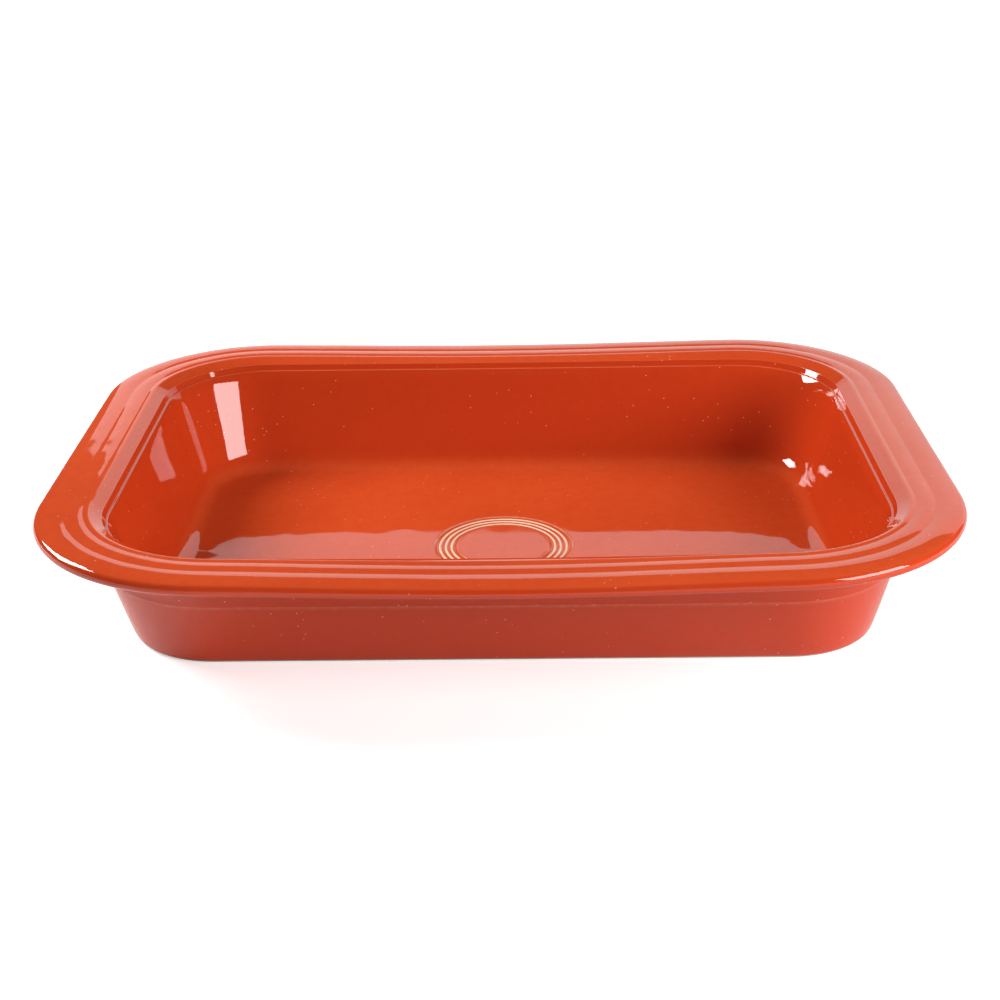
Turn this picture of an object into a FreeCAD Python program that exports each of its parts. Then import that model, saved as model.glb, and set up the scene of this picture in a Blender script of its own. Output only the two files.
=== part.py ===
import FreeCAD, Part
import math
import os

# Glazed ceramic lasagna dish in millimetres, standing on its foot.
# Origin at the middle of the foot's plane, +X along the length, +Y along the width, +Z up.
# Sizes are those of the finished dish, with the glaze on it.
# An inset is measured inward from the rim's outer edge, and a drop down from the top of the dish.
# The rim is one section carried round a rectangle with rounded corners.
# The walls run from it to a foot whose long sides lie further in than its ends.

# Plan of the rim
rim_length = 375.0
rim_width = 280.0
corner_radius = 76.0

# Heights above the table
overall_height = 57.0
floor_height = 5.6
foot_recess = 0.8

# Rim: three crowned bands that meet in two creases, with a round outer edge
edge_radius = 2.8
edge_drop = 1.2
outer_crown_inset = 7.0
outer_crown_rise = 0.35
outer_crown_radius = 20.8
outer_crease_inset = 12.2
inner_crease_inset = 19.8
crease_drop = 0.45
lip_inset = 22.2
lip_rise = 0.2
lip_radius = 3.5

# Inside the rim: a sloping lip, a steeper riser and a narrow ledge above the wall
lip_foot_inset = 26.3
lip_foot_drop = 4.7
ledge_inset = 27.6
ledge_drop = 7.4
ledge_root_radius = 0.6
ledge_width = 3.0
wall_top_radius = 2.8

# Walls: they lean out from the foot to the root of the rim, more on the long sides than at the ends
wall_root_inset = 20.6
end_foot_inset = 33.8
side_foot_inset = 41.3
floor_corner_radius = 12.0
base_edge_radius = 3.0
shoulder_height = 31.0
shoulder_step = 0.6
cove_radius = 8.0

# Foot: a bare ring round a glazed panel
foot_ring_width = 10.0

# Ring ornament in the middle of the floor: flutes that meet in sharp ridges
ornament_inner_radius = 20.7
flute_width = 2.6
flute_count = 4
flute_depth = 0.6

# Fired glaze
glaze_thickness = 0.4

# Worked out from the sizes above
half_side = rim_length / 2 - corner_radius
half_end = rim_width / 2 - corner_radius
edge_slope = math.atan2(edge_drop + outer_crown_rise, outer_crown_inset)
edge_reach = edge_radius * math.tan(math.pi / 4 - edge_slope / 2)
rim_underside = overall_height - edge_drop - edge_reach - edge_radius
middle_crown_half = (inner_crease_inset - outer_crease_inset) / 2
middle_crown_angle = 2 * math.atan(crease_drop / middle_crown_half)
ledge_height = overall_height - ledge_drop
wall_top_inset = ledge_inset + ledge_width
end_taper = (end_foot_inset - wall_root_inset) / rim_underside
side_taper = (side_foot_inset - wall_root_inset) / rim_underside
rim_root_inset = (wall_root_inset + lip_foot_inset) / 2
bare_height = foot_recess + glaze_thickness
overrun = 2.0
up = FreeCAD.Vector(0, 0, 1)


def section_point(inset, height):
    """Place in the XZ plane of a point of the section, with a corner's axis at X = 0."""
    return FreeCAD.Vector(corner_radius - inset, 0, height)


def rounded_face(corners):
    """Face with the given corners (inset, height, radius), each one rounded to its radius."""
    points = [section_point(inset, height) for inset, height, radius in corners]
    bends = []
    for index, here in enumerate(points):
        radius = corners[index][2]
        back = (points[index - 1] - here).normalize()
        ahead = (points[(index + 1) % len(points)] - here).normalize()
        half_angle = back.getAngle(ahead) / 2
        reach = radius / math.tan(half_angle)
        middle = here + (back + ahead).normalize() * (radius / math.sin(half_angle) - radius)
        bends.append((here + back * reach, middle, here + ahead * reach))
    edges = []
    for index, (start, middle, end) in enumerate(bends):
        if corners[index][2] > 0:
            edges.append(Part.Arc(start, middle, end).toShape())
        next_start = bends[(index + 1) % len(bends)][0]
        if end.distanceToPoint(next_start) > 1e-6:
            edges.append(Part.makeLine(end, next_start))
    return Part.Face(Part.Wire(edges))


def rim_section():
    """Section of the rim and the ledge, running on level as a sheet to past the corner's axis."""
    crease_height = overall_height - crease_drop
    middle_rise = middle_crown_half * math.tan(middle_crown_angle)
    middle_radius = middle_crown_half / math.sin(middle_crown_angle)
    past_axis = corner_radius + overrun
    return rounded_face([
        (0, rim_underside, edge_radius),
        (0, overall_height - edge_drop, edge_radius),
        (outer_crown_inset, overall_height + outer_crown_rise, outer_crown_radius),
        (outer_crease_inset, crease_height, 0),
        (outer_crease_inset + middle_crown_half, crease_height + middle_rise, middle_radius),
        (inner_crease_inset, crease_height, 0),
        (lip_inset, overall_height + lip_rise, lip_radius),
        (lip_foot_inset, overall_height - lip_foot_drop, 0),
        (ledge_inset, ledge_height, ledge_root_radius),
        (past_axis, ledge_height, 0),
        (past_axis, ledge_height - overrun, 0),
        (rim_root_inset, ledge_height - overrun, 0),
        (rim_root_inset, rim_underside, 0),
    ])


def carried_round(section):
    """Solid of a section carried round the plan of the rim, with its sheet closed in the middle."""
    to_axis = section.common(rounded_face([
        (0, 0, 0), (corner_radius, 0, 0), (corner_radius, overall_height, 0), (0, overall_height, 0)
    ])).Faces[0]
    at_axis = [vertex.Z for vertex in to_axis.Vertexes if abs(vertex.X) < 1e-6]
    corner = FreeCAD.Vector(-half_side, -half_end, min(at_axis))
    middle = Part.makeBox(2 * half_side, 2 * half_end, max(at_axis) - min(at_axis), corner)
    pieces = []
    for quarter in range(4):
        turn = 90 * quarter
        sign_x = 1 if quarter in (0, 3) else -1
        sign_y = 1 if quarter in (0, 1) else -1
        centre = FreeCAD.Vector(sign_x * half_side, sign_y * half_end, 0)
        face = to_axis.copy()
        face.rotate(FreeCAD.Vector(), up, turn)
        face.translate(centre)
        side_length = 2 * (half_end if quarter % 2 == 0 else half_side)
        along = FreeCAD.Rotation(up, turn).multVec(FreeCAD.Vector(0, -side_length, 0))
        pieces.append(face.revolve(centre, up, 90))
        pieces.append(face.extrude(along))
    return middle.multiFuse(pieces).removeSplitter()


def plan_wire(end_inset, side_inset, height):
    """Rectangle with rounded corners at a height, set in from the rim at its ends and long sides."""
    half_length = rim_length / 2 - end_inset
    half_width = rim_width / 2 - side_inset
    radius = corner_radius - (end_inset + side_inset) / 2
    bend = radius * (1 - math.sqrt(0.5))
    edges = []
    last = FreeCAD.Vector(-half_length + radius, -half_width, height)
    for sign_x, sign_y in ((1, -1), (1, 1), (-1, 1), (-1, -1)):
        across = FreeCAD.Vector(sign_x * (half_length - radius), sign_y * half_width, height)
        along = FreeCAD.Vector(sign_x * half_length, sign_y * (half_width - radius), height)
        first, second = (across, along) if sign_x * sign_y < 0 else (along, across)
        middle = FreeCAD.Vector(sign_x * (half_length - bend), sign_y * (half_width - bend), height)
        edges.append(Part.makeLine(last, first))
        edges.append(Part.Arc(first, middle, second).toShape())
        last = second
    return Part.Wire(edges)


def prism(end_inset, side_inset, bottom, top):
    """Upright block with the plan of one inset."""
    plan = Part.Face(plan_wire(end_inset, side_inset, bottom))
    return plan.extrude(FreeCAD.Vector(0, 0, top - bottom))


def leaning_wire(end_inset, side_inset, height, skin):
    """Plan at a height of a wall that has the given insets at the table and is moved in by a skin."""
    return plan_wire(
        end_inset - end_taper * height + skin * math.hypot(1, end_taper),
        side_inset - side_taper * height + skin * math.hypot(1, side_taper),
        height,
    )


def edges_at(solid, height, inset_from, inset_to):
    """Edges of a solid that lie level at a height, and whose outermost point lies between two insets."""
    found = []
    for edge in solid.Edges:
        box = edge.optimalBoundingBox(False, False)
        level = abs(box.ZMin - height) < 1e-4 and abs(box.ZMax - height) < 1e-4
        end_inset = rim_length / 2 - max(abs(box.XMin), abs(box.XMax))
        side_inset = rim_width / 2 - max(abs(box.YMin), abs(box.YMax))
        if level and inset_from < min(end_inset, side_inset) < inset_to:
            found.append(edge)
    return found


def outer_block(skin):
    """Solid inside the outer walls, from the foot to a little above the underside of the rim."""
    loops = []
    for height in (skin, shoulder_height):
        loops.append(leaning_wire(end_foot_inset, side_foot_inset, height, skin))
    for height in (shoulder_height + shoulder_step, rim_underside + overrun / 2):
        loops.append(leaning_wire(end_foot_inset + shoulder_step, side_foot_inset + shoulder_step, height, skin))
    block = Part.makeLoft(loops, True, True)
    return block.makeFillet(base_edge_radius - skin, edges_at(block, skin, 0, rim_width / 2))


def cavity_block(skin):
    """Solid of the space between the inner walls, from the floor to a little above the ledge."""
    end_inset = wall_top_inset + end_taper * ledge_height
    side_inset = wall_top_inset + side_taper * ledge_height
    floor = floor_height - skin
    loops = [leaning_wire(end_inset, side_inset, height, -skin) for height in (floor, ledge_height + overrun)]
    block = Part.makeLoft(loops, True, True)
    return block.makeFillet(floor_corner_radius + skin, edges_at(block, floor, 0, rim_width / 2))


def dish_form(skin):
    """The dish with every surface moved in by a skin, before its foot and its ornament are cut."""
    section = rim_section()
    rim = carried_round(section.makeOffset2D(-skin) if skin else section)
    underside = rim_underside + skin
    ledge = ledge_height - skin
    opening = prism(rim_root_inset + overrun / 2, rim_root_inset + overrun / 2, ledge, overall_height)
    form = rim.fuse(outer_block(skin).cut(opening)).cut(cavity_block(skin)).removeSplitter()
    wall_root = edges_at(form, underside, wall_root_inset - overrun, rim_root_inset)
    form = form.makeFillet(cove_radius + skin, wall_root)
    wall_top = edges_at(form, ledge, wall_top_inset - overrun / 2, rim_width / 2)
    return form.makeFillet(wall_top_radius - skin, wall_top)


def foot_space(height):
    """Space inside the foot ring, up to a height."""
    return prism(end_foot_inset + foot_ring_width, side_foot_inset + foot_ring_width, -overrun, height)


def flute_cutter(surface_height):
    """Ring that cuts the floor's flutes, each one a V whose rims meet the next in a ridge."""
    outer_radius = ornament_inner_radius + flute_count * flute_width
    clear = surface_height + overrun
    points = [FreeCAD.Vector(ornament_inner_radius, 0, clear)]
    for flute in range(flute_count):
        inner = ornament_inner_radius + flute * flute_width
        points.append(FreeCAD.Vector(inner, 0, surface_height))
        points.append(FreeCAD.Vector(inner + flute_width / 2, 0, surface_height - flute_depth))
    points.append(FreeCAD.Vector(outer_radius, 0, surface_height))
    points.append(FreeCAD.Vector(outer_radius, 0, clear))
    points.append(points[0])
    return Part.Face(Part.makePolygon(points)).revolve(FreeCAD.Vector(), up, 360)


def make_finished_form():
    """The whole dish as it leaves the kiln."""
    return dish_form(0).cut(foot_space(foot_recess)).cut(flute_cutter(floor_height))


def make_clay_body():
    """The fired clay under the glaze, bare at the foot ring."""
    corner = FreeCAD.Vector(-rim_length / 2, -rim_width / 2, 0)
    bare_foot = outer_block(0).common(Part.makeBox(rim_length, rim_width, bare_height, corner))
    body = dish_form(glaze_thickness).fuse(bare_foot).cut(foot_space(bare_height))
    return body.cut(flute_cutter(floor_height - glaze_thickness)).removeSplitter()


clay_body = make_clay_body()
glaze = make_finished_form().cut(clay_body)
glaze_coat, base_glaze = sorted(glaze.Solids, key=lambda solid: solid.Volume, reverse=True)

os.makedirs("parts", exist_ok=True)
clay_body.Solids[0].exportStep("parts/clay_body.step")
glaze_coat.exportStep("parts/glaze_coat.step")
base_glaze.exportStep("parts/base_glaze.step")
for name, shape in (("clay_body", clay_body), ("glaze_coat", glaze_coat), ("base_glaze", base_glaze)):
    box = shape.optimalBoundingBox(False, False)
    size = [round(length, 2) for length in (box.XLength, box.YLength, box.ZLength)]
    print(name, "solids", len(shape.Solids), "faces", len(shape.Faces), "valid", shape.isValid())
    print("  volume", round(shape.Volume), "size", size)
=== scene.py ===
# %% [markdown]
# The dish and its frame
# A lasagna dish is one piece of stoneware under a coat of glossy glaze. Its imported solids are loaded first,
# because every point below is in their frame: metres, the length along X, the width along Y and the foot at
# Z = 0. The box round those solids is kept, and the plan below takes its size from it.

# %% Load the imported solids
import math
import bmesh
import bpy
from mathutils import Matrix, Vector, noise


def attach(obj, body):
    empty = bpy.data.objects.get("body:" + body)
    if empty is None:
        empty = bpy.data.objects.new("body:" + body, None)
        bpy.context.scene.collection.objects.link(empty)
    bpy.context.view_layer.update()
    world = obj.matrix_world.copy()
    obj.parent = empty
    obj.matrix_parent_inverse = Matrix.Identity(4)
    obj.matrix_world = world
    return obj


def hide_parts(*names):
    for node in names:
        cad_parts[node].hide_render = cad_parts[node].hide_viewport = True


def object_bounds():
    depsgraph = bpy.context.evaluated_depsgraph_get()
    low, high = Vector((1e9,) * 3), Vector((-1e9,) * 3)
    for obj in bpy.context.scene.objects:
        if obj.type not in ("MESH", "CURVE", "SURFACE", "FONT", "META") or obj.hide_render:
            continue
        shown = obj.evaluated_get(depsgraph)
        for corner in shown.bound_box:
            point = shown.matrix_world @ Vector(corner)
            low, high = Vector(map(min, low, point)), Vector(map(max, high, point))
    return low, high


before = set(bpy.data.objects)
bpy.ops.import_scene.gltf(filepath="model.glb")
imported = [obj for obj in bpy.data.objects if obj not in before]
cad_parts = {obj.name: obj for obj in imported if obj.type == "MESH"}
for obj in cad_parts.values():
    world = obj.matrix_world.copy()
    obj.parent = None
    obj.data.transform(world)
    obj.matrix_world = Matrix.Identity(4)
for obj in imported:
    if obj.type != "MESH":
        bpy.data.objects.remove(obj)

scene = bpy.context.scene
solid_box = [list(corner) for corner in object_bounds()]
print("nodes", sorted(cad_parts))
print("solid box, mm", [[round(1000 * value, 2) for value in corner] for corner in solid_box])

# %% [markdown]
# The camera
# The photograph looks down on a long side of the dish. Its place could be found by eye, but the reflections
# in the glaze depend on it, so it was worked out from the rim, the foot and the ring ornament together.
# A pan, a tilt and a small roll give the camera's three axes, and its lens comes from the picture's width.

# %% Place the camera
camera_place = Vector((0.00836, -0.69496, 0.32869))
camera_pan = math.radians(-0.706)
camera_tilt = math.radians(23.456)
camera_roll = math.radians(-0.837)
picture_width = 1000
focal_length_in_pixels = 1700

ahead = Vector((
    math.sin(camera_pan) * math.cos(camera_tilt),
    math.cos(camera_pan) * math.cos(camera_tilt),
    -math.sin(camera_tilt),
))
level_right = Vector((math.cos(camera_pan), -math.sin(camera_pan), 0))
level_up = level_right.cross(ahead)
camera_right = level_right * math.cos(camera_roll) + level_up * math.sin(camera_roll)
camera_up = level_up * math.cos(camera_roll) - level_right * math.sin(camera_roll)

camera_data = bpy.data.cameras.new("table_camera")
camera_data.sensor_width = 36
camera_data.lens = camera_data.sensor_width * focal_length_in_pixels / picture_width
camera = bpy.data.objects.new("table_camera", camera_data)
scene.collection.objects.link(camera)
camera.matrix_world = Matrix.Translation(camera_place) @ Matrix(
    (camera_right, camera_up, -ahead)
).transposed().to_4x4()
scene.camera = camera
print("lens, mm", round(camera_data.lens, 2))

# %% [markdown]
# The section of the wall
# A potter makes such a dish in a mould whose wall is one profile, carried round the plan. The profile is
# drawn here in millimetres as corners with a rounding each: how far in from the rim's outer edge, how high,
# how round. Drawing it once keeps rim, lip, ledge, wall and floor in step on all four sides.

# %% Round the corners of a drawn line
shortest_step = 0.02


def rounded_line(corners, degrees_per_step=7.0, longest_run=5.0):
    """Points (inset, height) along a line of corners (inset, height, radius), rounded as given."""
    places = [Vector(corner[:2]) for corner in corners]
    line = [places[0]]
    for before, here, after, corner in zip(places, places[1:], places[2:], corners[1:]):
        back = (before - here).normalized()
        onward = (after - here).normalized()
        half_angle = back.angle(onward) / 2
        radius = corner[2]
        reach = radius / math.tan(half_angle)
        middle = here + (back + onward).normalized() * (radius / math.sin(half_angle))
        start = here + back * reach - middle
        turn = math.pi - 2 * half_angle
        steps = max(2, math.ceil(math.degrees(turn) / degrees_per_step))
        if onward.cross(back) < 0:
            turn = -turn
        for step in range(steps + 1):
            angle = turn * step / steps
            line.append(middle + Matrix.Rotation(angle, 2) @ start)
    line.append(places[-1])
    evened = [line[0]]
    for point in line[1:]:
        gap = point - evened[-1]
        if gap.length < shortest_step:
            continue
        pieces = math.ceil(gap.length / longest_run)
        origin = evened[-1]
        evened += [origin + gap * (piece + 1) / pieces for piece in range(pieces)]
    return evened


right_angle = rounded_line([(0, 0, 0), (10, 0, 3.0), (10, 10, 0)])
print("points of a right angle rounded by 3 mm", len(right_angle))

# %% Draw the wall from the foot, over the rim, to the floor
rim_underside = 50.7
floor_height = 5.6
foot_ring_middle_inset = 43.0
wall_foot_inset = 37.55
shoulder_inset = 27.15
shoulder_height = 31.5
floor_edge_inset = 58.0

foot_to_rim = [
    (foot_ring_middle_inset, 0.0, 0),
    (wall_foot_inset, 0.0, 3.0),
    (shoulder_inset, shoulder_height, 1.0),
    (26.9, 33.6, 12.0),
    (21.2, rim_underside, 8.0),
]
rim_bands = [
    (0.0, rim_underside, 2.8),
    (0.0, 55.8, 2.8),
    (7.0, 57.31, 20.0),
    (12.2, 56.55, 0.8),
    (16.0, 57.25, 15.0),
    (19.8, 56.55, 0.8),
    (21.9, 57.08, 2.5),
]
lip_and_ledge = [
    (27.0, 54.0, 0.7),
    (28.3, 51.4, 0.5),
    (29.0, 51.2, 0.5),
]
wall_to_floor = [
    (30.8, 48.0, 14.0),
    (45.3, floor_height, 12.0),
    (floor_edge_inset, floor_height, 0),
]
wall_line = rounded_line(foot_to_rim + rim_bands + lip_and_ledge + wall_to_floor)
print("points down the wall", len(wall_line))

# %% [markdown]
# The plan and the firing
# Seen from above the dish is a rectangle with round corners, as large as the box of the solids, and each
# point of the section becomes a loop round it. The kiln then moves the clay a little: the long rims sag in
# their middles and turn their lips outward, the rim leans and draws in near the corners, the back corners
# tighten and the front ones widen, the foot shifts and the floor tips. These moves were read from the
# photograph. They could be sculpted, but a formula for each keeps them smooth and leaves the foot flat.

# %% Make loops of points round the plan
half_length, half_width, overall_height = (round(1000 * value, 3) for value in solid_box[1])
corner_radius = 76.0
foot_difference = 3.75
back_corner_change = -3.0
front_corner_change = 2.0
corner_steps = 28
side_steps = 64
end_steps = 40


def plan_loop(inset, height):
    """Points (x, y) anticlockwise round the plan, at one inset from the rim's edge and one height."""
    up = min(1.0, height / rim_underside)
    lean = foot_difference * (1 - up)
    arcs = []
    for quarter in range(4):
        corner = corner_radius + up * (back_corner_change if quarter in (0, 1) else front_corner_change)
        centre_x = (half_length - corner + lean) * (1 if quarter in (0, 3) else -1)
        centre_y = (half_width - corner - lean) * (1 if quarter in (0, 1) else -1)
        angles = [math.pi / 2 * (quarter + step / corner_steps) for step in range(corner_steps + 1)]
        arcs.append([
            (centre_x + (corner - inset) * math.cos(angle), centre_y + (corner - inset) * math.sin(angle))
            for angle in angles
        ])
    loop = []
    for quarter, arc in enumerate(arcs):
        loop += arc
        last_x, last_y = arc[-1]
        next_x, next_y = arcs[(quarter + 1) % 4][0]
        run_steps = side_steps if quarter % 2 == 0 else end_steps
        for step in range(1, run_steps):
            part = step / run_steps
            loop.append((last_x + (next_x - last_x) * part, last_y + (next_y - last_y) * part))
    return loop


print("points round the plan", len(plan_loop(0, overall_height)))

# %% Move a point as the kiln did
front_sag = 3.0
back_sag = 1.9
sag_reach = 150.0
inner_sag_share = 0.2
inner_sag_half_width = 112.0
outer_sag_half_width = 119.0
corner_draw = 0.45
front_drop = 0.44
left_drop = 0.28
foot_shift = 1.0
floor_slope = 0.008
slope_start_height = 1.5
slope_gain_height = 3.0
slope_end_height = 30.0
slope_fade_height = 20.0


def fired(x, y, z):
    """A drawn point in millimetres, as it stands after firing, in metres."""
    middle = math.cos(math.pi / 2 * min(1.0, abs(x) / sag_reach)) ** 2
    share = (z / overall_height) ** 2
    backward = 0.5 + 0.5 * y / half_width
    sag = front_sag + (back_sag - front_sag) * backward
    outward = (abs(y) - inner_sag_half_width) / (outer_sag_half_width - inner_sag_half_width)
    sag *= inner_sag_share + (1 - inner_sag_share) * min(1.0, max(0.0, outward))
    lean = front_drop * (1 - y / half_width) + left_drop * (1 - x / half_length)
    gain = (z - slope_start_height) / slope_gain_height
    fade = (slope_end_height - z) / slope_fade_height
    near_floor = max(0.0, min(1.0, gain, fade))
    x_fired = x + foot_shift * max(0.0, 1 - z / rim_underside)
    y_fired = y * (1 - corner_draw / half_width * (1 - middle) * share)
    z_fired = z - (sag * middle + lean) * share + floor_slope * y * near_floor
    return Vector((x_fired, y_fired, z_fired)) / 1000


front_edge = fired(0, -half_width, overall_height)
print("front rim sinks by, mm", round(overall_height - 1000 * front_edge.z, 2))

# %% [markdown]
# The floor and its ring ornament
# The floor has four shallow flutes turned round its middle that meet in three sharp ridges. They could be cut
# into a flat sheet, but a cut leaves uneven faces that show in a glossy glaze. So the loops of the wall turn
# into circles on the way in, each point keeping its direction, and wall, floor and ornament are one skin.

# %% Loops over the floor
ornament_place = (0.18, -1.2)
ornament_inner_radius = 20.7
ornament_margin = 2.5
ornament_edge = 0.8
flute_width = 2.6
flute_count = 4
flute_depth = 0.55
flute_steps = (0.0, 0.05, 0.13, 0.25, 0.4, 0.5, 0.6, 0.75, 0.87, 0.95)
floor_steps = (0.12, 0.24, 0.36, 0.48, 0.6, 0.72, 0.84, 1.0)
middle_radii = (20.0, 15.0, 10.0, 5.0)
outer_edge_thinness = 0.45
ridge_thinness = 1.6
ridge_fade = 0.55
floor_edge_loop = plan_loop(wall_line[-1].x, floor_height)
directions = [math.atan2(y, x) for x, y in floor_edge_loop]


def floor_circle(radius):
    """Points (x, y) of a circle round the ornament's middle, in the directions of the floor's edge."""
    centre_x, centre_y = ornament_place
    return [
        (centre_x + radius * math.cos(direction), centre_y + radius * math.sin(direction))
        for direction in directions
    ]


def floor_loops():
    """Loops (points, height, thinness of the glaze) from the floor's edge to its middle."""
    outer_radius = ornament_inner_radius + flute_count * flute_width
    circle = floor_circle(outer_radius + ornament_margin)
    loops = []
    for part in floor_steps:
        points = [
            (edge_x + (circle_x - edge_x) * part, edge_y + (circle_y - edge_y) * part)
            for (edge_x, edge_y), (circle_x, circle_y) in zip(floor_edge_loop, circle)
        ]
        loops.append((points, floor_height, 0.0))
    loops.append((floor_circle(outer_radius + ornament_edge), floor_height, 0.0))
    for flute in range(flute_count):
        for part in flute_steps:
            radius = outer_radius - flute_width * (flute + part)
            height = floor_height - flute_depth * math.sin(math.pi * part)
            to_ridge = min(part, 1 - part) * flute_width
            at_outside = flute == 0 and part < 0.5
            at_inside = flute == flute_count - 1 and part > 0.5
            strength = outer_edge_thinness if at_outside or at_inside else 1.0
            thin_glaze_and_highlight = strength * min(1.0, max(0.0, ridge_thinness - to_ridge / ridge_fade))
            loops.append((floor_circle(radius), height, thin_glaze_and_highlight))
    loops.append((floor_circle(ornament_inner_radius), floor_height, outer_edge_thinness))
    for radius in middle_radii:
        loops.append((floor_circle(radius), floor_height, 0.0))
    return loops


print("loops over the floor", len(floor_loops()))

# %% [markdown]
# Where the glaze runs thin
# Molten glaze draws back from edges that stand proud and gathers in hollows, so an edge burns paler and a
# crease is darker. How sharply the section bends tells where: each point stores it for the material to read.
# Painting it by hand round the plan would be slower and would miss the small edges. The shoulder of the
# outer wall is too blunt to show that way, so a painted highlight, a pale line, is marked there by its
# height.

# %% Measure the bend of a line
bend_softening = 0.25
thinness_per_bend = 0.9
shoulder_painted_highlight = 0.3
shoulder_reach = 0.6
outer_wall_inset = 28.0


def bends(line):
    """Signed bend at each point of a line, in radians to a softened millimetre, proud edges positive."""
    found = [0.0]
    for before, here, after in zip(line, line[1:], line[2:]):
        arriving = here - before
        leaving = after - here
        angle = arriving.angle_signed(leaving)
        found.append(angle / (0.5 * (arriving.length + leaving.length) + bend_softening))
    found.append(0.0)
    return found


def thinness(line):
    """Thinness of the glaze at each point of a line, from -1 in a hollow to 1 on an edge."""
    return [max(-1.0, min(1.0, thinness_per_bend * bend)) for bend in bends(line)]


wall_thinness_and_highlight = thinness(wall_line)
for index, point in enumerate(wall_line):
    # The shoulder's pale line is a painted highlight, stored as thinness.
    if point.x < outer_wall_inset and abs(point.y - shoulder_height) < shoulder_reach:
        wall_thinness_and_highlight[index] = shoulder_painted_highlight
print("thinness from", round(min(wall_thinness_and_highlight), 2), "to", round(max(wall_thinness_and_highlight), 2))

# %% [markdown]
# Skins
# A skin is a row of loops joined by four-sided faces. The glaze is a thin closed shell with an outer skin and
# an inner one, and the clay is a closed body inside it. A single open skin would look the same from outside,
# but closed pieces can also be cut, printed or weighed.

# %% Helpers that add loops of vertices
def start_mesh():
    """An empty mesh whose vertices can store the glaze's thinness and the shoulder's painted highlight."""
    mesh = bmesh.new()
    mesh.verts.layers.float.new("thin_glaze_and_highlight")
    return mesh


def add_loop(mesh, points, height, thin_glaze_and_highlight=0.0):
    """Vertices of one loop, each storing the glaze's thinness, and on the shoulder a painted highlight."""
    layer = mesh.verts.layers.float["thin_glaze_and_highlight"]
    made = []
    for x, y in points:
        vertex = mesh.verts.new(fired(x, y, height))
        vertex[layer] = thin_glaze_and_highlight
        made.append(vertex)
    return made


def add_wall(mesh, line):
    """Loops of vertices round the plan, one for each point of a line."""
    return [add_loop(mesh, plan_loop(point.x, point.y), point.y) for point in line]


print("vertices in one loop", len(directions))

# %% Helpers that join loops into skins
def join_loops(mesh, loops):
    """Faces between each loop and the next."""
    for lower, upper in zip(loops, loops[1:]):
        for index in range(len(lower)):
            following = (index + 1) % len(lower)
            mesh.faces.new((lower[index], lower[following], upper[following], upper[index]))


def close_middle(mesh, loop, faces_up):
    """Faces from an end loop to one vertex in its middle."""
    layer = mesh.verts.layers.float["thin_glaze_and_highlight"]
    middle = mesh.verts.new(sum((vertex.co for vertex in loop), Vector()) / len(loop))
    middle[layer] = 0.0
    for index, vertex in enumerate(loop):
        following = loop[(index + 1) % len(loop)]
        mesh.faces.new((vertex, following, middle) if faces_up else (following, vertex, middle))


print("faces in one ring of a skin", len(directions))

# %% A helper that finishes a piece
def finish_piece(mesh, name, node):
    """An object from a mesh, riding on the dish and standing for one of its solids."""
    data = bpy.data.meshes.new(name)
    mesh.normal_update()
    mesh.to_mesh(data)
    mesh.free()
    data.shade_smooth()
    piece = bpy.data.objects.new(name, data)
    scene.collection.objects.link(piece)
    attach(piece, "root")
    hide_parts(node)
    print(name, "vertices", len(data.vertices), "faces", len(data.polygons))
    return piece


print("solids to stand for", sorted(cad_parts))

# %% [markdown]
# The glaze coat
# The dish is dipped or sprayed after its first firing, and the foot is wiped clean of glaze. A thickened copy
# of one skin would do for the coat, but its edge at the foot would be square. Here the section is set in by
# the coat's thickness, and both skins meet in a thin wiped edge. The outer skin gets soft waves, as a coat of
# glaze has once it sets.

# %% Lines of the glaze and of the clay under it
glaze_thickness = 0.4
foot_recess = 0.8
bare_height = foot_recess + glaze_thickness
wiped_edge_thinness = 0.6


def set_in(line, depth):
    """A line moved into the wall by a depth."""
    moved = []
    for index, here in enumerate(line):
        along = (line[min(index + 1, len(line) - 1)] - line[max(index - 1, 0)]).normalized()
        moved.append(here + Vector((along.y, -along.x)) * depth)
    return moved


first_glazed = next(index for index, point in enumerate(wall_line) if point.y > bare_height)
below = wall_line[first_glazed - 1]
above = wall_line[first_glazed]
wiped_edge = below.lerp(above, (bare_height - below.y) / (above.y - below.y))
glaze_line = [wiped_edge] + wall_line[first_glazed:]
glaze_thinness_and_highlight = [wiped_edge_thinness] + wall_thinness_and_highlight[first_glazed:]
clay_line = set_in(glaze_line, glaze_thickness)
clay_line[0].y = bare_height
print("glaze starts at height", round(glaze_line[0].y, 2), "clay floor at", round(clay_line[-1].y, 2))

# %% Make the glaze coat
wave_depth = 0.00006
wave_scale = 85.0
long_wave_scale = wave_scale * 0.4
long_wave_share = 0.5
wave_level = 0.75
deepest_wave = 1.5
loops_left_plain = 4


def ripple(mesh, vertices):
    """Sink the outer skin in soft waves."""
    mesh.normal_update()
    for vertex in vertices:
        wave = noise.noise(vertex.co * wave_scale)
        wave += long_wave_share * noise.noise(vertex.co * long_wave_scale)
        vertex.co -= vertex.normal * wave_depth * min(deepest_wave, max(0.0, wave_level + wave))


def add_clay_floor(mesh):
    """Loops of vertices over the clay's floor, which lies under the glaze."""
    return [add_loop(mesh, points, height - glaze_thickness) for points, height, thin_glaze_and_highlight in floor_loops()]


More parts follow.
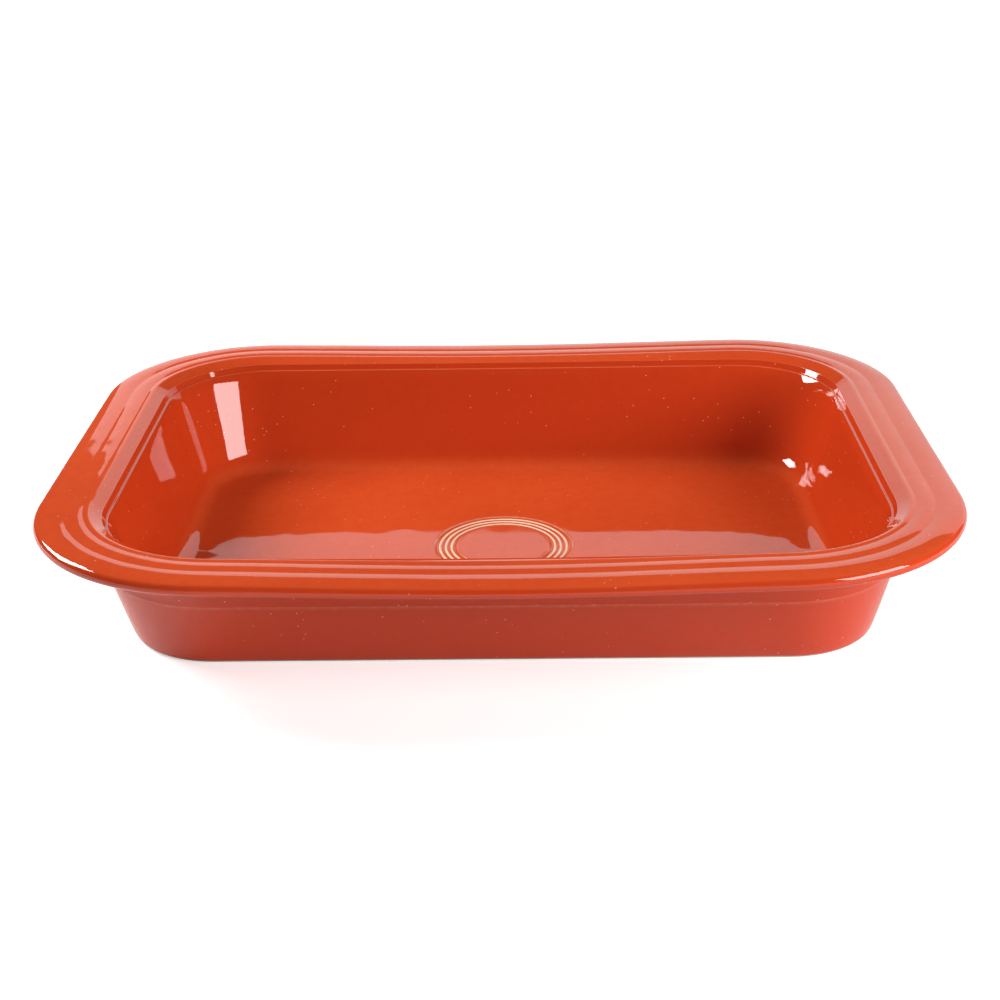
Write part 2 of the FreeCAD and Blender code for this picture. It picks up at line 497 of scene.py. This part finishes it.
def glaze_coat_mesh():
    """The closed shell of glaze over the inside, the rim and the outer wall."""
    mesh = start_mesh()
    outer = [
        add_loop(mesh, plan_loop(point.x, point.y), point.y, thin_glaze_and_highlight)
        for point, thin_glaze_and_highlight in zip(glaze_line, glaze_thinness_and_highlight)
    ]
    outer += [add_loop(mesh, points, height, thin_glaze_and_highlight) for points, height, thin_glaze_and_highlight in floor_loops()]
    inner = add_wall(mesh, clay_line) + add_clay_floor(mesh)
    join_loops(mesh, outer)
    close_middle(mesh, outer[-1], True)
    join_loops(mesh, inner[::-1] + [outer[0]])
    close_middle(mesh, inner[-1], False)
    ripple(mesh, [vertex for loop in outer[loops_left_plain:] for vertex in loop])
    return mesh


glaze_coat = finish_piece(glaze_coat_mesh(), "glaze_skin", "glaze_coat")

# %% [markdown]
# The clay body
# Only the foot shows the clay: a dry ring that was wiped clean, so that the dish would not stick to the kiln
# shelf. A ring alone would show as much, but the glaze would be hollow behind it. So the whole body is made,
# and its hidden part follows the inside of the glaze with no gap between the two.

# %% Make the clay body
foot_ring_inner_inset = 47.55
base_inset = 60.0
foot_line = rounded_line([
    (base_inset, bare_height, 0),
    (foot_ring_inner_inset, bare_height, 0.3),
    (foot_ring_inner_inset, 0.0, 0.5),
    (foot_ring_middle_inset, 0.0, 0),
])


def clay_body_mesh():
    """The closed body of clay, from the recess in its base over the rim to its floor."""
    mesh = start_mesh()
    bare_line = [point for point in wall_line[:first_glazed] if point.x < foot_ring_middle_inset]
    loops = add_wall(mesh, foot_line + bare_line + [wiped_edge] + clay_line) + add_clay_floor(mesh)
    join_loops(mesh, loops)
    close_middle(mesh, loops[-1], True)
    close_middle(mesh, loops[0], False)
    return mesh


clay_body = finish_piece(clay_body_mesh(), "clay_core", "clay_body")

# %% [markdown]
# The glazed panel of the base
# Inside the foot ring the underside is glazed again. The panel is a thin slab in the recess of the base, with
# a small rounding at its lower edge. It could be a plain flat sheet, but a line carried round the plan like
# the wall's makes it fit the ring all the way.

# %% Make the panel
panel_line = rounded_line([
    (base_inset, bare_height, 0),
    (foot_ring_inner_inset, bare_height, 0.02),
    (foot_ring_inner_inset, foot_recess, 0.25),
    (base_inset, foot_recess, 0),
])


def base_panel_mesh():
    """The closed slab of glaze in the recess."""
    mesh = start_mesh()
    loops = add_wall(mesh, panel_line)
    join_loops(mesh, loops[::-1])
    close_middle(mesh, loops[0], True)
    close_middle(mesh, loops[-1], False)
    return mesh


base_panel = finish_piece(base_panel_mesh(), "base_panel", "base_glaze")

# %% [markdown]
# The glaze's finish
# The glaze is a glossy orange red. It pools on level parts, where it is more orange, and runs off walls,
# where it is redder; that split by facing is also painted light, level parts lighter and walls and the
# floor's rounded edge darker. It breaks to cream where it is thin, with faint mottling and tiny pale specks,
# and the same cream is a painted highlight on the outer wall's shoulder. One Principled shader carries that:
# its colour is mixed from noise, from the way a face looks and from the stored thinness, and a soft bump
# bends the reflections as a poured coat does.

# %% Helpers that add nodes
def new_material(name):
    """A material with its node tree and its Principled shader."""
    material = bpy.data.materials.new(name)
    material.use_nodes = True
    tree = material.node_tree
    return material, tree, tree.nodes["Principled BSDF"]


def set_input(tree, socket, value):
    """A link to a socket, or a value set on it."""
    if isinstance(value, bpy.types.NodeSocket):
        tree.links.new(value, socket)
    else:
        socket.default_value = value


def add_node(tree, kind, inputs=None, **settings):
    """A node with its settings and the values or links of its inputs."""
    made = tree.nodes.new(kind)
    for key, value in settings.items():
        setattr(made, key, value)
    for key, value in (inputs or {}).items():
        set_input(tree, made.inputs[key], value)
    return made


print("pieces waiting for a finish", [glaze_coat.name, clay_body.name, base_panel.name])

# %% Helpers that make patterns
def noise_of(tree, place, scale, detail=2.0, roughness=0.5):
    """Cloudy noise of a scale, as a value from 0 to 1."""
    inputs = {"Vector": place, "Scale": scale, "Detail": detail, "Roughness": roughness}
    return add_node(tree, "ShaderNodeTexNoise", inputs).outputs["Fac"]


def dots_of(tree, place, scale):
    """Distance from the nearest of many scattered dots, as a share of their spacing."""
    inputs = {"Vector": place, "Scale": scale}
    return add_node(tree, "ShaderNodeTexVoronoi", inputs, feature="F1").outputs["Distance"]


def product(tree, first, second):
    """Two values multiplied."""
    return add_node(tree, "ShaderNodeMath", {0: first, 1: second}, operation="MULTIPLY").outputs[0]


def between(tree, value, low, high, to_low=0.0, to_high=1.0):
    """A value carried smoothly from one range to another."""
    inputs = {"Value": value, "From Min": low, "From Max": high, "To Min": to_low, "To Max": to_high}
    return add_node(tree, "ShaderNodeMapRange", inputs, interpolation_type="SMOOTHSTEP").outputs["Result"]


print("made noise_of, dots_of, product and between")

# %% Helpers that mix colours and bend normals
def mixed(tree, share, first, second):
    """A colour between two, by a share."""
    made = add_node(tree, "ShaderNodeMix", data_type="RGBA")
    # The colour sockets share their names with sockets for numbers, so they are found by their place.
    for index, value in ((0, share), (6, first), (7, second)):
        set_input(tree, made.inputs[index], value)
    return made.outputs[2]


def bumped(tree, height, strength, distance):
    """A normal bent by a height."""
    inputs = {"Height": height, "Strength": strength, "Distance": distance}
    return add_node(tree, "ShaderNodeBump", inputs).outputs["Normal"]


print("made mixed and bumped")

# %% Find where the glaze changes
cloud_scale = 14.0
mottle_scale = 260.0
speck_scale = 220.0
scatter_scale = 45.0
level_facing = 0.97
wall_facing = 0.6
speck_edge = 0.095
speck_core = 0.05

glaze, tree, shader = new_material("orange_red_glaze")
place = add_node(tree, "ShaderNodeTexCoord").outputs["Object"]
thin_glaze_and_highlight = add_node(tree, "ShaderNodeAttribute", attribute_name="thin_glaze_and_highlight").outputs["Fac"]
facing = add_node(tree, "ShaderNodeNewGeometry").outputs["Normal"]
upward = add_node(tree, "ShaderNodeSeparateXYZ", {"Vector": facing}).outputs["Z"]
# Painted light: faces turning from level toward upright take the darker wall red, partly running glaze and
# partly painted shade.
running_and_shaded = between(tree, upward, level_facing, wall_facing)
cloud = between(tree, noise_of(tree, place, cloud_scale, 3.0), 0.3, 0.7)
mottle = between(tree, noise_of(tree, place, mottle_scale, 4.0, 0.6), 0.35, 0.7)
# The break also carries the painted highlight on the outer wall's shoulder.
break_and_highlight = product(tree, thin_glaze_and_highlight, between(tree, mottle, 0.0, 1.0, 0.9, 1.1))
dot = between(tree, dots_of(tree, place, speck_scale), speck_edge, speck_core)
scatter = between(tree, noise_of(tree, place, scatter_scale), 0.42, 0.55)
speck = product(tree, dot, scatter)
print("nodes that place the glaze's changes", len(tree.nodes))

# %% Mix the glaze
# The level orange is pooled glaze and painted light; the wall red is running glaze and painted shade.
pooled_and_lit_orange = (0.64, 0.072, 0.017, 1)
warm_orange = (0.72, 0.090, 0.021, 1)
running_and_shaded_red = (0.56, 0.047, 0.009, 1)
deep_red = (0.47, 0.030, 0.005, 1)
# The pale break colour also paints the highlight on the outer wall's shoulder.
pale_break_and_highlight = (0.95, 0.76, 0.54, 1)
speck_colour = (0.80, 0.42, 0.25, 1)
cloud_share = 0.4
mottle_share = 0.12
hollow_share = 0.3
break_share = 0.95
speck_share = 0.6
shine_scale = 60.0
smoothest_glaze = 0.02
dullest_glaze = 0.055
glaze_refraction = 1.5
swell_scale = 70.0
swell_strength = 0.2
swell_height = 0.0003

colour = mixed(tree, between(tree, cloud, 0.0, 1.0, 0.0, cloud_share), pooled_and_lit_orange, warm_orange)
# Walls turn to the darker red here: running glaze and painted shade.
colour = mixed(tree, running_and_shaded, colour, running_and_shaded_red)
colour = mixed(tree, between(tree, mottle, 0.0, 1.0, 0.0, mottle_share), colour, deep_red)
colour = mixed(tree, between(tree, thin_glaze_and_highlight, -0.05, -0.9, 0.0, hollow_share), colour, deep_red)
colour = mixed(tree, between(tree, break_and_highlight, 0.15, 1.0, 0.0, break_share), colour, pale_break_and_highlight)
colour = mixed(tree, between(tree, speck, 0.0, 1.0, 0.0, speck_share), colour, speck_colour)
shine = noise_of(tree, place, shine_scale, 3.0)
dullness = between(tree, shine, 0.3, 0.7, smoothest_glaze, dullest_glaze)
swell = noise_of(tree, place, swell_scale, 1.0)
set_input(tree, shader.inputs["Base Color"], colour)
set_input(tree, shader.inputs["Roughness"], dullness)
set_input(tree, shader.inputs["IOR"], glaze_refraction)
set_input(tree, shader.inputs["Normal"], bumped(tree, swell, swell_strength, swell_height))
glaze_coat.data.materials.append(glaze)
base_panel.data.materials.append(glaze)
print("glaze nodes", len(tree.nodes))

# %% [markdown]
# The bare clay
# The wiped foot ring is fired stoneware: pale buff, dry to the touch, with fine grog and a few iron specks.
# It needs no gloss, so noise at two scales, scattered dots and a fine bump carry it.

# %% Mix the bare clay
buff = (0.62, 0.55, 0.45, 1)
warm_buff = (0.55, 0.44, 0.32, 1)
iron = (0.20, 0.12, 0.07, 1)
patch_scale = 40.0
grain_scale = 900.0
iron_scale = 220.0
iron_edge = 0.16
iron_core = 0.08
patch_share = 0.6
grain_share = 0.35
iron_share = 0.55
smoothest_clay = 0.75
roughest_clay = 0.92
grain_strength = 0.5
grain_height = 0.0002

bare_clay, tree, shader = new_material("bare_stoneware")
place = add_node(tree, "ShaderNodeTexCoord").outputs["Object"]
patch = between(tree, noise_of(tree, place, patch_scale, 4.0), 0.35, 0.65)
grain = noise_of(tree, place, grain_scale, 3.0, 0.65)
speck = between(tree, dots_of(tree, place, iron_scale), iron_edge, iron_core)
colour = mixed(tree, between(tree, patch, 0.0, 1.0, 0.0, patch_share), buff, warm_buff)
colour = mixed(tree, between(tree, grain, 0.45, 0.75, 0.0, grain_share), colour, warm_buff)
colour = mixed(tree, between(tree, speck, 0.0, 1.0, 0.0, iron_share), colour, iron)
dryness = between(tree, grain, 0.3, 0.7, smoothest_clay, roughest_clay)
set_input(tree, shader.inputs["Base Color"], colour)
set_input(tree, shader.inputs["Roughness"], dryness)
set_input(tree, shader.inputs["Normal"], bumped(tree, grain, grain_strength, grain_height))
clay_body.data.materials.append(bare_clay)
print("clay nodes", len(tree.nodes))

# %% [markdown]
# The table and the backdrop
# The dish stands on a white table with a white board behind it, and the glaze shows the board as the pale
# sheen on its rim and on the near part of its floor. The table is a large plain sheet that takes the shadow.
# Seen directly, it is lifted to white by a little light of its own, which is less near the dish.

# %% Make the table and the board
table_reach = 3
board_distance = 1.8
board_outline = [(-0.78, 0), (2.2, 0), (2.2, 1.45), (0.1, 1.01), (-0.36, 0.99), (-0.78, 0.68)]


def flat_sheet(name, corners):
    """A flat sheet of the stage, which is no part of the dish."""
    mesh = bmesh.new()
    mesh.faces.new([mesh.verts.new(corner) for corner in corners])
    data = bpy.data.meshes.new(name)
    mesh.to_mesh(data)
    mesh.free()
    sheet = bpy.data.objects.new(name, data)
    scene.collection.objects.link(sheet)
    return sheet


table = flat_sheet("white_table", [
    (x * table_reach, y * table_reach, 0) for x, y in ((-1, -1), (1, -1), (1, 1), (-1, 1))
])
board = flat_sheet("white_board", [(x, board_distance, z) for x, z in board_outline])
print("stage", table.name, board.name)

# %% Paint the table and the board
white = (1, 1, 1, 1)
table_paint = (0.88, 0.88, 0.88, 1)
table_roughness = 0.9
lift_near = 0.5
lift_far = 1.0
near_distance = 0.2
far_distance = 1.0
board_paint = (0.2, 0.2, 0.2, 1)
board_glow = 0.95

table_white, tree, shader = new_material("table_white")
seen = add_node(tree, "ShaderNodeLightPath").outputs["Is Camera Ray"]
place = add_node(tree, "ShaderNodeTexCoord").outputs["Object"]
distance = add_node(tree, "ShaderNodeVectorMath", {0: place}, operation="LENGTH").outputs["Value"]
lift = product(tree, seen, between(tree, distance, near_distance, far_distance, lift_near, lift_far))
set_input(tree, shader.inputs["Base Color"], table_paint)
set_input(tree, shader.inputs["Roughness"], table_roughness)
set_input(tree, shader.inputs["Specular IOR Level"], 0.0)
set_input(tree, shader.inputs["Emission Color"], white)
set_input(tree, shader.inputs["Emission Strength"], lift)
table.data.materials.append(table_white)
print("table nodes", len(tree.nodes))

board_white, tree, shader = new_material("board_white")
set_input(tree, shader.inputs["Base Color"], board_paint)
set_input(tree, shader.inputs["Emission Color"], white)
set_input(tree, shader.inputs["Emission Strength"], board_glow)
board.data.materials.append(board_white)
print("board glow", board_glow)

# %% [markdown]
# The light
# Two softboxes light the dish, one at the left and one at the right in front, and a dim room fills the rest.
# Their reflections are the bright streaks on the rim and in the inner corners, so their places were worked
# out from those streaks. Together they light a level surface to about its written colour.

# %% Set the softboxes and the room
lit_place = Vector((0, 0, 0.03))
room_strength = 0.04


def softbox(name, place, width, height, radiance):
    """A rectangular lamp that looks at the dish, with its brightness as seen from there."""
    data = bpy.data.lights.new(name, "AREA")
    data.shape = "RECTANGLE"
    data.size = width
    data.size_y = height
    data.energy = radiance * math.pi * width * height
    lamp = bpy.data.objects.new(name, data)
    scene.collection.objects.link(lamp)
    lamp.location = place
    lamp.rotation_euler = (lit_place - Vector(place)).to_track_quat("-Z", "Y").to_euler()
    print(name, "energy", round(data.energy, 1))


softbox("left_softbox", (-0.92, 0.37, 0.67), width=0.52, height=0.46, radiance=23.0)
softbox("front_right_softbox", (0.90, -0.62, 0.49), width=0.74, height=0.60, radiance=11.5)

room = bpy.data.worlds.new("dim_room")
room.use_nodes = True
background = room.node_tree.nodes["Background"]
background.inputs["Color"].default_value = white
background.inputs["Strength"].default_value = room_strength
scene.world = room
scene.view_settings.view_transform = "Standard"
print("room strength", room_strength)
